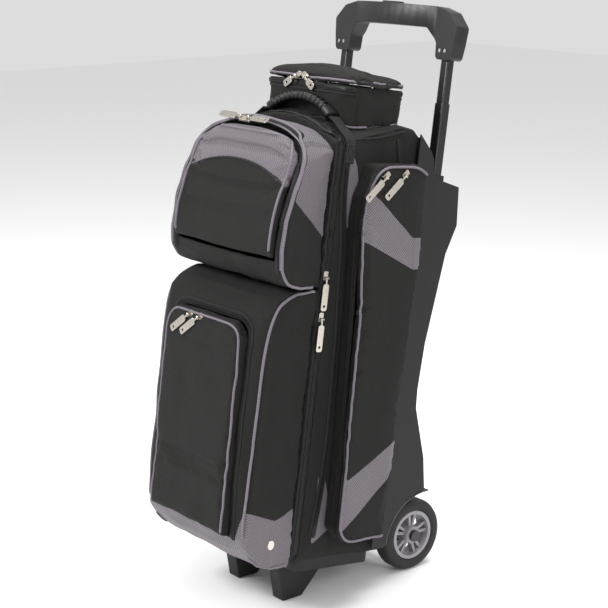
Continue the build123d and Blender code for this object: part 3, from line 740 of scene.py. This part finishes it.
def trunk_shape(point):
    share = max(0.0, (point.z - 640) / (crown(point.x) - 640)) ** 2
    return point + Vector((0, 0, shoulder_rise(point.x, point.y) * min(1.0, share)))


CASE_X = -6.0
CASE_HALF = 110.0
CASE_Y = -191.0
CASE_HALF_DEPTH = 59.0


def case_lid_shape(point):
    """The lid is crowned: low along its rim and full in the middle."""
    across = min(1.0, abs(point.x - CASE_X) / CASE_HALF)
    deep = min(1.0, abs(point.y - CASE_Y) / CASE_HALF_DEPTH)
    full = math.sqrt((1 - across**2.6) * (1 - deep**2.6))
    low = 826.0
    if point.z <= low:
        return point
    return Vector((point.x, point.y, low + (point.z - low) * (0.3 + 0.85 * full)))


def case_tub_shape(point):
    """The case's bottom sags onto the trunk's crowned top."""
    gap = 768.4 - (crown(point.x) + shoulder_rise(point.x, point.y) + 1.5)
    share = min(1.0, max(0.0, (812 - point.z) / (812 - 768.4)))
    return point - Vector((0, 0, max(0.0, gap) * share**2))


move(soft["body_shell"], trunk_shape)
move(soft["top_case_lid"], case_lid_shape)
move(soft["top_case_tub"], case_tub_shape)

# Grey patches. Each is given by the lines on the bag where the grey cloth starts.
def between(value, points):
    """Height of a line through some (across, height) points."""
    return float(np.interp(value, [point[0] for point in points], [point[1] for point in points]))


DOME_FRONT = [(503, -378), (534, -388), (566, -391), (612, -388), (667, -373), (713, -364), (752, -352), (757, -338)]


def dome_side_grey(point):
    """Upper part of the dome's sides and its top, behind the front piping."""
    seam = 579 + 53 * max(0.0, -288 - point.y) / 74
    return min(point.z - seam, point.y - between(point.z, DOME_FRONT) - 5)


def dome_front_grey(point):
    """Upper part of the dome's cover, above a flat arch."""
    return point.z - 690 + 26 * (point.x / 122) ** 2


LOWER_SEAM = [(-388, 147), (-335, 130), (-318, 136), (-283, 153)]


def lower_grey(point):
    """Bottom of the lower pocket: a band in front that climbs along the sides."""
    share = min(1.0, max(0.0, (abs(point.x) - 112) / 20))
    share = share * share * (3 - 2 * share)
    return 98 + (between(point.y, LOWER_SEAM) - 98) * share - point.z


def inside_outline(outline):
    """Distance inside a convex outline of (y, z) corners on the bag's side, negative outside."""
    corners = [Vector(corner) for corner in outline]

    def distance(point):
        depth = 1e3
        for corner, following in zip(corners, corners[1:] + corners[:1]):
            way = (following - corner).normalized()
            offset = Vector((point.y, point.z)) - corner
            depth = min(depth, offset.x * way.y - offset.y * way.x)
        return depth if abs(point.x) > 122 else -1.0

    return distance


STRIP = [(-251, 603), (-241, 595), (-236, 670), (-242, 697), (-254, 719), (-268, 722), (-260, 655)]
FOOT = [(-249, 79), (-207, 109), (-236, 195), (-250, 193)]


def side_grey(outline):
    corners = outline

    def distance(point):
        low = between(point.y, [corners[1], corners[2]])
        high = between(point.y, [corners[0], corners[3]])
        return min(high - point.z, point.z - low, abs(point.x) - 166)

    return distance


def clockwise(outline):
    """Corners in the order in which inside_outline counts the inside as positive."""
    total = 0.0
    for (y, z), (next_y, next_z) in zip(outline, outline[1:] + outline[:1]):
        total += (next_y - y) * (next_z + z)
    return outline if total > 0 else outline[::-1]


patch(soft["dome_pocket_tub"], dome_side_grey, GREY)
patch(soft["dome_pocket_cover"], dome_front_grey, GREY)
move(soft["dome_pocket_tub"], dome_shape)
move(soft["dome_pocket_cover"], dome_shape)
patch(soft["lower_pocket_tub"], lower_grey, GREY)
patch(soft["body_shell"], inside_outline(clockwise(STRIP)), GREY)
patch(soft["body_shell"], inside_outline(clockwise(FOOT)), GREY)
for name in ("right", "left"):
    cover = soft[f"side_pocket_cover_{name}"]
    patch(cover, side_grey([(-239, 662), (-245, 585), (-139, 542), (-147, 593)]), GREY)
    patch(cover, side_grey([(-222, 198), (-222, 112), (-123, 209), (-123, 262)]), GREY)

for made in soft.values():
    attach(made, made["rides"])

# ------------------------------------------------------------------ dome pocket trim
FORWARD = (0, 1, 0)
dome_tree = tree_of(soft["dome_pocket_tub"], soft["dome_pocket_cover"])
cover_tree = tree_of(soft["dome_pocket_cover"])
dome_panel = [dome_shape(point) for point in arch(124.0, 550, 744, 44)]
laid = run(dome_panel, cover_tree, FORWARD, lift=0.9, soften=10)
piping("dome_panel_piping", laid, "dome_cover", radius=2.2)


def dome_ring(half, rise, low):
    """Line round the dome's front, from low on its left side over the top to low on its right side."""
    legs = [Vector((half, 0, low + (DOME_CENTRE - low) * step / 12)) for step in range(12)]
    curve = []
    for step in range(25):
        angle = math.pi / 2 * step / 24
        x = half * math.cos(angle) ** (2 / ROUND)
        curve.append(Vector((x, 0, DOME_CENTRE + rise * math.sin(angle) ** (2 / ROUND))))
    right = legs + curve
    return [Vector((-point.x, 0, point.z)) for point in right] + right[-2::-1]


for name, half, top in (("outer", 146.6, 756.6), ("second", 142.6, 752.6)):
    ring = []
    for x, _, z in spaced(arch(half, 534, top, half - 87), 4):
        ring.append(dome_shape(Vector((x, between(z, DOME_FRONT), z))))
    foot = [(half - 14, -308, 504), (half - 6, -345, 505), (half - 1, -374, 514)]
    if name == "outer":
        left_foot = [Vector((-x, y, z)) for x, y, z in foot]
        ring = left_foot + ring + [Vector(point) for point in reversed(foot)]
    laid = run(rounded(ring, 14), dome_tree, lift=0.5, soften=8)
    piping(f"dome_{name}_piping", laid, "front_door", radius=2.2 if name == "outer" else 1.4)
laid = run(dome_ring(135.5, 89, 530), tree_of(soft["dome_pocket_tub"]), FORWARD, lift=0.2)
zip_coil("dome_zip", laid, "front_door", tape=6.0)
seam = [(x, 0, 690 - 26 * (x / 122) ** 2) for x in range(-122, 123, 6)]
laid = run(seam, cover_tree, FORWARD, lift=0.2)
sweep("dome_arch_fold", laid, flat_profile(1.6, 0.8), BLACK, "dome_cover")
stitches("dome_arch_stitches", beside(laid, 0, 1.0), "dome_cover", GREY_THREAD)
laid = run([(-126, 0, 550), (126, 0, 550)], cover_tree, FORWARD, lift=0.2)
sweep("dome_foot_fold", laid, flat_profile(1.2, 1.2), GREY, "dome_cover")

# ------------------------------------------------------------------ lower pocket trim
lower_tree = tree_of(soft["lower_pocket_tub"], soft["lower_pocket_cover"])
cover_tree = tree_of(soft["lower_pocket_cover"])
laid = run(arch(97.0, 108, 438, 34), cover_tree, FORWARD, lift=0.9, soften=14)
piping("lower_panel_piping", laid, "lower_cover")
LOWER_RING = [
    (128, -296, 51),
    (128, -350, 54),
    (128, -378, 76),
    (128, -393, 112),
    (132, -393, 250),
    (134, -392, 400),
    (136, -386, 455),
    (137, -374, 478),
    (137, -345, 496),
    (134, -302, 501),
]
laid_zip = run(arch(107, 98, 450, 42), tree_of(soft["lower_pocket_tub"]), FORWARD, lift=0.2)
zip_coil("lower_zip", laid_zip, "front_door", tape=6.5)
for name, hand in (("right", 1), ("left", -1)):
    corners = [(hand * x, y, z) for x, y, z in LOWER_RING]
    laid = run(rounded(corners, 26), lower_tree, lift=1.3, soften=5)
    piping(f"lower_outer_piping_{name}", laid, "front_door", radius=2.2)
    seam = [(hand * 121, 0, 98), (hand * 117, 0, 216), (hand * 112, 0, 400), (hand * 108, 0, 440)]
    laid = run(seam, lower_tree, FORWARD, lift=0.3)
    stitches(f"lower_seam_{name}", laid, "front_door")

# ------------------------------------------------------------------ zips and seams round the trunk
def over_trunk(y, low, inset=0.0):
    """Line up one side of the trunk, over its crowned top and down the other side."""
    crest = [(x, y, crown(x)) for x in range(-118, 119, 8)]
    side_line = [(TRUNK_HALF - inset, y, z) for z in np.linspace(low, SHOULDER_Z - 4, 30)]
    return [(-x, y, z) for x, y, z in side_line] + crest + side_line[::-1]


door_tree = tree_of(soft["door_panel"])
trunk_tree = tree_of(soft["body_shell"])
laid = run(over_trunk(-284, 66), door_tree, lift=0.3)
zip_coil("door_zip", laid, "front_door", tape=7.5)
laid = run(over_trunk(-276.5, 66), door_tree, lift=0.4)
sweep("door_edge_cord", laid, circle_profile(1.5, 8), BLACK_SMOOTH, "front_door")
TOP_SLOPE = [(-275, 768), (-152, 768), (-134, 752), (-102, 720), (-96, 712)]


def trunk_top(x, y):
    """Height of the trunk's top, with its slope at the back and soft folds."""
    fold = 1.6 * noise.noise(Vector((x / 30, y / 45, 4.0)))
    plain = min(crown(x), between(y, TOP_SLOPE)) + shoulder_rise(x, y)
    return plain + 2.6 + fold * (1 - (abs(x) / TRUNK_HALF) ** 4)


def panel(name, xs, ys, height, material, body):
    """Sewn cloth panel over a grid of places, given a thickness and one subdivision."""
    rows = [[Vector((x, y, height(x, y))) for x in xs] for y in ys]
    wide = len(xs)
    vertices = [point for row in rows for point in row]
    faces = []
    for row in range(len(ys) - 1):
        for column in range(wide - 1):
            first = row * wide + column
            faces.append((first, first + 1, first + wide + 1, first + wide))
    made = piece(name, vertices, faces, material, body)
    thick = made.modifiers.new("Thick", "SOLIDIFY")
    thick.thickness = 1.6 * MM
    thick.offset = -1
    smoothed(made)
    return made


panel(
    "trunk_top_panel",
    list(np.linspace(-TRUNK_HALF + 0.5, TRUNK_HALF - 0.5, 44)),
    list(np.linspace(-271, -101, 30)),
    trunk_top,
    BLACK,
    "trunk",
)
TRUNK_ZIP = [(-266, 722), (-264, 650), (-256, 587), (-245, 425), (-238, 307), (-240, 200), (-250, 92)]
for name, hand in (("right", 1), ("left", -1)):
    line = [(hand * TRUNK_HALF, y, z) for y, z in TRUNK_ZIP]
    laid = run(rounded(line, 60), trunk_tree, lift=0.3)
    zip_coil(f"trunk_zip_{name}", laid, "trunk", tape=7.0)
    top_seam = [(hand * 126, -262, crown(126) + 2), (hand * 126, -202, 745), (hand * 126, -148, 758)]
    laid = run(top_seam, trunk_tree, lift=0.5)
    sweep(f"trunk_top_cord_{name}", laid, circle_profile(1.7, 8), BLACK_SMOOTH, "trunk")
    stitches(f"trunk_top_stitch_{name}", beside(laid, hand * 5, -0.4), "trunk")
    hem = [(hand * TRUNK_HALF, -160, 745), (hand * TRUNK_HALF, -154, 722), (hand * TRUNK_HALF, -150, 706)]
    laid = run(rounded(hem, 20), trunk_tree, lift=0.3)
    sweep(f"trunk_hem_{name}", laid, flat_profile(4.5, 1.2), BLACK_SMOOTH, "trunk")
    stitches(f"trunk_hem_stitch_{name}", beside(laid, 2.5, 1.2), "trunk")
laid = run([(x, -262, crown(x)) for x in range(-120, 121, 6)], trunk_tree, lift=3.0)
zip_coil("trunk_zip_top", laid, "trunk", tape=7.0)

# ------------------------------------------------------------------ small case on top
def case_ring(half_x, half_y, z, radius=22):
    """Line round the case at height z, starting at its back."""
    left, right = CASE_X - half_x, CASE_X + half_x
    front_y, back_y = CASE_Y - half_y, CASE_Y + half_y
    corners = [(left, back_y, z), (left, front_y, z), (right, front_y, z), (right, back_y, z)]
    return rounded(corners, radius, closed=True)


lid_tree = tree_of(soft["top_case_lid"])
tub_tree = tree_of(soft["top_case_tub"])
laid = run(case_ring(110, 59, 829), lid_tree, closed=True, lift=0.8)
piping("case_lid_piping", laid, "case_lid", closed=True)
laid = run(case_ring(110, 59, 824.5), lid_tree, closed=True, lift=0.2)
sweep("case_lid_zip_tape", laid, flat_profile(2.4, 1.6), BLACK_SMOOTH, "case_lid", closed=True)
laid = run(case_ring(110, 59, 816.5), tub_tree, closed=True, lift=0.3)
zip_coil("case_zip", laid, "top_case", half=2.0, tape=4.5, both=False)
laid = run(case_ring(110, 59, 808), tub_tree, closed=True, lift=0.3)
sweep("case_seam", laid, flat_profile(1.6, 1.0), BLACK_SMOOTH, "top_case", closed=True)
stitches("case_seam_stitch", beside(laid, 3.0), "top_case")
foot = [case_tub_shape(Vector(point)) for point in case_ring(109, 58, 771)]
laid = run(foot, tub_tree, closed=True, lift=0.6)
piping("case_foot_piping", laid, "top_case", closed=True, radius=1.7)

# ------------------------------------------------------------------ carry handle
CARRY_Y = -262.0
SLOT_PITCH = 10.5


def carry_arc(half, rise, steps=90):
    """Arc of the carry handle from its left end to its right end."""
    radius = (half**2 + rise**2) / (2 * rise)
    reach = math.asin(half / radius)
    angles = [-reach + 2 * reach * step / steps for step in range(steps + 1)]
    low = 772.0
    return [(radius * math.sin(a), CARRY_Y, low + rise - radius + radius * math.cos(a)) for a in angles]


def slotted(length, share, profile):
    """Curved slots across the top of the grip, and squared cuffs at its ends."""
    drawn = []
    cuff = share < 0.1 or share > 0.9
    for across, outwards in profile:
        scale = 1.1 if cuff else 1.0
        dip = 0.0
        if not cuff and outwards > -3.0:
            phase = (length + 0.05 * across * across) / SLOT_PITCH % 1.0
            if phase < 0.4:
                scale = 0.76
                dip = 2.0
        drawn.append((across * scale, outwards * scale - dip))
    return drawn


top_points = [(x, 6.2) for x in (-8, -7.4, -5, -2.5, 0, 2.5, 5, 7.4, 8)]
grip_profile = top_points[::-1] + [(-9.4, 3), (-9.4, -2), (-6, -6.5), (-3, -5.6), (3, -5.6), (6, -6.5), (9.4, -2), (9.4, 3)]
laid = run(carry_arc(76, 25), out=(0, 0, 1), spacing=0.9)
carry = sweep("carry_grip_moulded", laid, grip_profile, RUBBER, "carry_handle", shape=slotted)
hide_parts("carry_grip")
for name, hand in (("right", 1), ("left", -1)):
    strap = [(81, 768.5), (86, 771), (106, 756.5), (130.8, 740.5), (130.8, 702)]
    points = rounded([(hand * x, CARRY_Y, z) for x, z in strap], 8)
    laid = run(points, out=(hand * 0.3, 0, 1), spacing=2.0)
    made = sweep(f"carry_strap_{name}", beside(laid, 0, -1.2), flat_profile(10, 2.4, 0.8), WEBBING, "trunk")
    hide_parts(f"carry_webbing_{name}")
    tab = [(hand * 131.4, y, z) for y, z in ((-269, 733), (-255, 733), (-255, 706), (-269, 706))]
    box_line = run(tab, out=(hand, 0, 0), closed=True, spacing=1.5, lift=1.0)
    stitches(f"strap_box_{name}", box_line, "trunk", GREY_THREAD, every=3.0)
    for number, (start, end) in enumerate(((tab[0], tab[2]), (tab[1], tab[3])), start=1):
        cross = run([start, end], out=(hand, 0, 0), spacing=1.5, lift=1.0)
        stitches(f"strap_cross_{name}_{number}", cross, "trunk", GREY_THREAD, every=3.0)

# ------------------------------------------------------------------ side pockets
POCKET_LINE = [
    (-124, 92),
    (-210, 92),
    (-227, 112),
    (-227, 240),
    (-239, 480),
    (-251, 615),
    (-248, 650),
    (-228, 703),
    (-150, 706),
    (-128, 695),
]
for name, hand in (("right", 1), ("left", -1)):
    cover = soft[f"side_pocket_cover_{name}"]
    tub = soft[f"side_pocket_tub_{name}"]
    outline = rounded([(hand * 170, y, z) for y, z in POCKET_LINE], 26)
    laid = run(outline, tree_of(cover), lift=0.7, soften=6)
    piping(f"side_piping_{name}", laid, f"side_cover_{name}", radius=2.1)
    laid = run([(hand * 163.5, y, z) for _, y, z in outline], tree_of(cover), lift=0.2)
    zip_coil(f"side_zip_{name}", laid, f"side_cover_{name}", both=False, tape=4.5)
    laid = run([(hand * 150, y, z) for _, y, z in outline], tree_of(tub), lift=0.2)
    sweep(f"side_gusset_seam_{name}", laid, flat_profile(1.6, 1.0), BLACK_SMOOTH, "trunk")
    stitches(f"side_gusset_stitch_{name}", beside(laid, 3.0), "trunk")
    face = [(hand * 170, -146, 650), (hand * 170, -141, 560), (hand * 170, -131, 417), (hand * 170, -126, 150)]
    laid = run(rounded(face, 60), tree_of(cover), lift=0.3)
    stitches(f"side_rear_stitch_{name}", laid, f"side_cover_{name}")

# ------------------------------------------------------------------ hard parts
def hard(source, material, bevel=0.0, segments=2):
    """CAD part with its own material and softened edges."""
    made = nodes[source]
    made.data.materials.clear()
    made.data.materials.append(material)
    weld = made.modifiers.new("Weld", "WELD")
    weld.merge_threshold = 0.02 * MM
    flat = made.modifiers.new("Flat", "DECIMATE")
    flat.decimate_type = "DISSOLVE"
    flat.angle_limit = math.radians(1.0)
    if bevel:
        edge = made.modifiers.new("Edge", "BEVEL")
        edge.width = bevel * MM
        edge.segments = segments
        edge.limit_method = "ANGLE"
        edge.angle_limit = math.radians(35)
        edge.harden_normals = True
        edge.use_clamp_overlap = True
    return made


HARD = {
    "back_shell": (SHELL, 1.2),
    "base_tray": (SHELL, 1.0),
    "base_screws": (STEEL, 0.2),
    "front_leg_right": (SHELL, 2.0),
    "front_leg_left": (SHELL, 2.0),
    "wheel_housing_right": (HOUSING, 0.8),
    "wheel_housing_left": (HOUSING, 0.8),
    "wheel_axle": (STEEL, 0.3),
    "axle_caps": (HOUSING, 0.5),
    "outer_tubes": (TUBE, 0.3),
    "mid_tubes": (TUBE, 0.3),
    "inner_tubes": (TUBE, 0.3),
    "tube_foot_bar": (SHELL, 0.8),
    "tube_sockets": (SHELL, 1.0),
    "grip": (RUBBER, 4.5),
    "grip_button": (RUBBER, 0.6),
    "grip_screws": (STEEL, 0.2),
    "side_badge": (NICKEL, 0.6),
    "rim_right": (RIM, 0.6),
    "rim_left": (RIM, 0.6),
    "shelf_lower": (BOARD, 1.0),
    "shelf_upper": (BOARD, 1.0),
}
for source, (material, bevel) in HARD.items():
    hard(source, material, bevel)
for seed, level in enumerate(("lower", "middle", "upper")):
    cup = remeshed(f"ball_cup_{level}", 2.6, FOAM, "trunk")
    push(cup, wrinkle(16, 0.9, seed=20.0 + seed))
    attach(cup, "trunk")
for source in nodes:
    if source.startswith(("zip_sliders", "zip_pull")):
        hard(source, NICKEL, 0.35)

# Tyres with a rounded tread and fine grooves round it.
TYRE_HALF = 16.0
for name, hand in (("right", 1), ("left", -1)):
    low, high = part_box(f"tyre_{name}")
    middle = (low.x + high.x) / 2 / MM
    outline = [(-14.5, 44.0), (-16.6, 47.0), (-16.8, 54.0), (-14.6, 60.5), (-10.0, 62.8)]
    for groove in (-7.0, 0.0, 7.0):
        outline += [(groove - 1.4, 63.3), (groove - 0.8, 62.2), (groove + 0.8, 62.2), (groove + 1.4, 63.3)]
    outline += [(-across, radius) for across, radius in reversed(outline[:5])]
    outline += [(12.0, 43.4), (-12.0, 43.4)]
    turns = 96
    vertices = []
    for turn in range(turns):
        angle = 2 * math.pi * turn / turns
        for across, radius in outline:
            place = (middle + across, radius * math.sin(angle), WHEEL_R + radius * math.cos(angle))
            vertices.append(place)
    around = len(outline)
    faces = []
    for turn in range(turns):
        for corner in range(around):
            next_turn = (turn + 1) % turns * around
            next_corner = (corner + 1) % around
            here = turn * around
            faces.append((here + corner, here + next_corner, next_turn + next_corner, next_turn + corner))
    made = piece(f"tyre_tread_{name}", vertices, faces, TYRE, f"wheel_{name}")
    sharp = made.modifiers.new("Edge", "BEVEL")
    sharp.width = 0.25 * MM
    sharp.segments = 1
    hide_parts(f"tyre_{name}")

# ------------------------------------------------------------------ camera, floor and light
camera_data = bpy.data.cameras.new("camera")
camera_data.lens = 95.78
camera_data.sensor_width = 36
camera = bpy.data.objects.new("camera", camera_data)
camera.location = AXLE + Vector((2.0322, -1.8046, 1.1271 - WHEEL_R * MM))
camera.rotation_euler = (math.radians(76.1), 0, math.radians(50.9))
bpy.context.scene.collection.objects.link(camera)
bpy.context.scene.camera = camera

floor_material = bpy.data.materials.new("pale floor")
floor_material.use_nodes = True
floor_shader = floor_material.node_tree.nodes["Principled BSDF"]
floor_shader.inputs["Base Color"].default_value = (0.92, 0.92, 0.92, 1)
floor_shader.inputs["Roughness"].default_value = 0.7
floor_mesh = bpy.data.meshes.new("floor")
floor_mesh.from_pydata([(-8, -8, 0), (8, -8, 0), (8, 8, 0), (-8, 8, 0)], [], [(0, 1, 2, 3)])
floor_mesh.materials.append(floor_material)
floor = bpy.data.objects.new("floor", floor_mesh)
bpy.context.scene.collection.objects.link(floor)


def soft_light(name, place, size, power):
    """Square studio light that faces the middle of the bag."""
    data = bpy.data.lights.new(name, "AREA")
    data.size = size
    data.energy = power
    light = bpy.data.objects.new(name, data)
    light.location = place
    aim = Vector((0, 0, 0.45)) - Vector(place)
    light.rotation_euler = aim.to_track_quat("-Z", "Y").to_euler()
    bpy.context.scene.collection.objects.link(light)


soft_light("key", (-1.2, -2.4, 2.6), 1.2, 110)
soft_light("fill", (2.8, -0.2, 1.6), 1.5, 30)
soft_light("top", (0.4, 0.6, 2.8), 1.2, 55)
world = bpy.data.worlds.new("studio")
world.use_nodes = True
world.node_tree.nodes["Background"].inputs[0].default_value = (1, 1, 1, 1)
world.node_tree.nodes["Background"].inputs[1].default_value = 0.72
bpy.context.scene.world = world
bpy.context.scene.view_settings.view_transform = "Standard"
